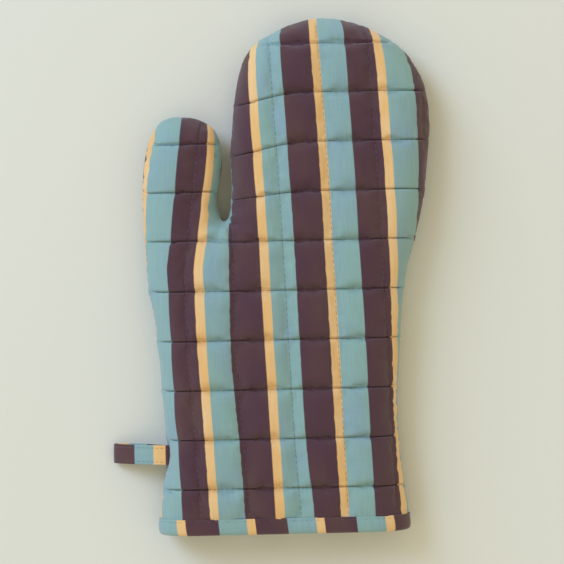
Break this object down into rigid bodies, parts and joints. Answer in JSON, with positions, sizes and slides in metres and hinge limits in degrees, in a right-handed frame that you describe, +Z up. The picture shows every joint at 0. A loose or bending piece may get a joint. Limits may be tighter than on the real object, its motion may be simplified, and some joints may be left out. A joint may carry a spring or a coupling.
{
  "type": "oven mitt",
  "caption": "Quilted striped cotton oven mitt with separate thumb, padded front and back panels, lining, bound cuff and a side hanging loop; fingers and thumb fold, loop swings.",
  "frame": {"origin": "middle of the underside of the mitt's bounding box, on the surface that it lies on", "axes": "+X from thumb to fingers across the mitt, +Y from the cuff to the fingertips, +Z up, out of the front panel"},
  "size_m": [0.2078, 0.3274, 0.035],
  "materials": {
    "outer_fabric": "matte woven cotton, lengthwise blue-grey, maroon and yellow stripes",
    "wadding": "matte polyester wadding",
    "lining": "matte plain cotton",
    "quilting_thread": "matte cotton thread",
    "seam_thread": "matte cotton thread",
    "binding": "matte woven cotton, cross-cut stripes",
    "loop_tape": "matte woven cotton, cross-cut stripes"
  },
  "bodies": {
    "palm": {"outer_front_palm": "outer_fabric", "outer_back_palm": "outer_fabric", "wadding_front_palm": "wadding", "wadding_back_palm": "wadding", "lining_front_palm": "lining", "lining_back_palm": "lining", "quilting_front_palm": "quilting_thread", "quilting_back_palm": "quilting_thread", "seam_thread_left": "seam_thread", "seam_thread_crotch": "seam_thread", "seam_thread_right": "seam_thread", "cuff_binding": "binding", "cuff_binding_stitching": "quilting_thread"},
    "fingers": {"outer_front_fingers": "outer_fabric", "outer_back_fingers": "outer_fabric", "wadding_front_fingers": "wadding", "wadding_back_fingers": "wadding", "lining_front_fingers": "lining", "lining_back_fingers": "lining", "quilting_front_fingers": "quilting_thread", "quilting_back_fingers": "quilting_thread", "seam_thread_fingers": "seam_thread"},
    "thumb": {"outer_front_thumb": "outer_fabric", "outer_back_thumb": "outer_fabric", "wadding_front_thumb": "wadding", "wadding_back_thumb": "wadding", "lining_front_thumb": "lining", "lining_back_thumb": "lining", "quilting_front_thumb": "quilting_thread", "quilting_back_thumb": "quilting_thread", "seam_thread_thumb": "seam_thread"},
    "loop": {"hanging_loop": "loop_tape"}
  },
  "joints": [
    {"name": "finger_fold", "type": "hinge", "parent": "palm", "child": "fingers", "pos_m": [0.03, 0.07225, 0.0175], "axis": [1, 0, 0], "range_deg": [0, 70]},
    {"name": "thumb_fold", "type": "hinge", "parent": "palm", "child": "thumb", "pos_m": [-0.03514, 0.05275, 0.0175], "axis": [0.9272, 0.3746, 0], "range_deg": [0, 45]},
    {"name": "loop_swing", "type": "hinge", "parent": "palm", "child": "loop", "pos_m": [-0.07304, -0.11295, 0.015], "axis": [0.0611, 0.9981, 0], "range_deg": [0, 105]}
  ]
}
